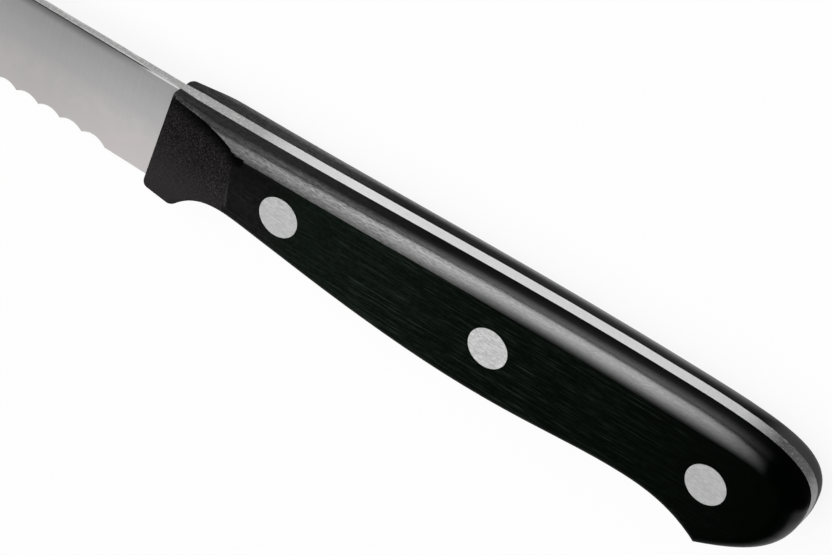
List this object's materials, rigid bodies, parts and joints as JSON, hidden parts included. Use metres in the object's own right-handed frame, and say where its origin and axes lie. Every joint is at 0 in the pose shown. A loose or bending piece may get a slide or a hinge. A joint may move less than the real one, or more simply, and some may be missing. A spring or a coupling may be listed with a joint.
{
  "type": "tomato knife",
  "caption": "Serrated tomato knife with a forked point: a steel blade with a full tang between riveted black scales whose fronts slope down to the blade.",
  "frame": {"origin": "under the middle of the knife's bounding box, on the surface that its right side lies on", "axes": "+X from the point towards the butt, +Y from the edge towards the spine, +Z out of the knife's left side"},
  "size_m": [0.2574, 0.024, 0.0108],
  "materials": {
    "blade_steel": "satin, finely ground across the blade",
    "scale_black": "satin, ground lengthwise, with matte moulded fronts",
    "rivet_steel": "satin"
  },
  "bodies": {
    "root": {"blade": "blade_steel", "left_scale": "scale_black", "right_scale": "scale_black", "front_rivet_pin": "rivet_steel", "middle_rivet_pin": "rivet_steel", "rear_rivet_pin": "rivet_steel", "front_rivet_tube": "rivet_steel", "middle_rivet_tube": "rivet_steel", "rear_rivet_tube": "rivet_steel"}
  },
  "joints": []
}
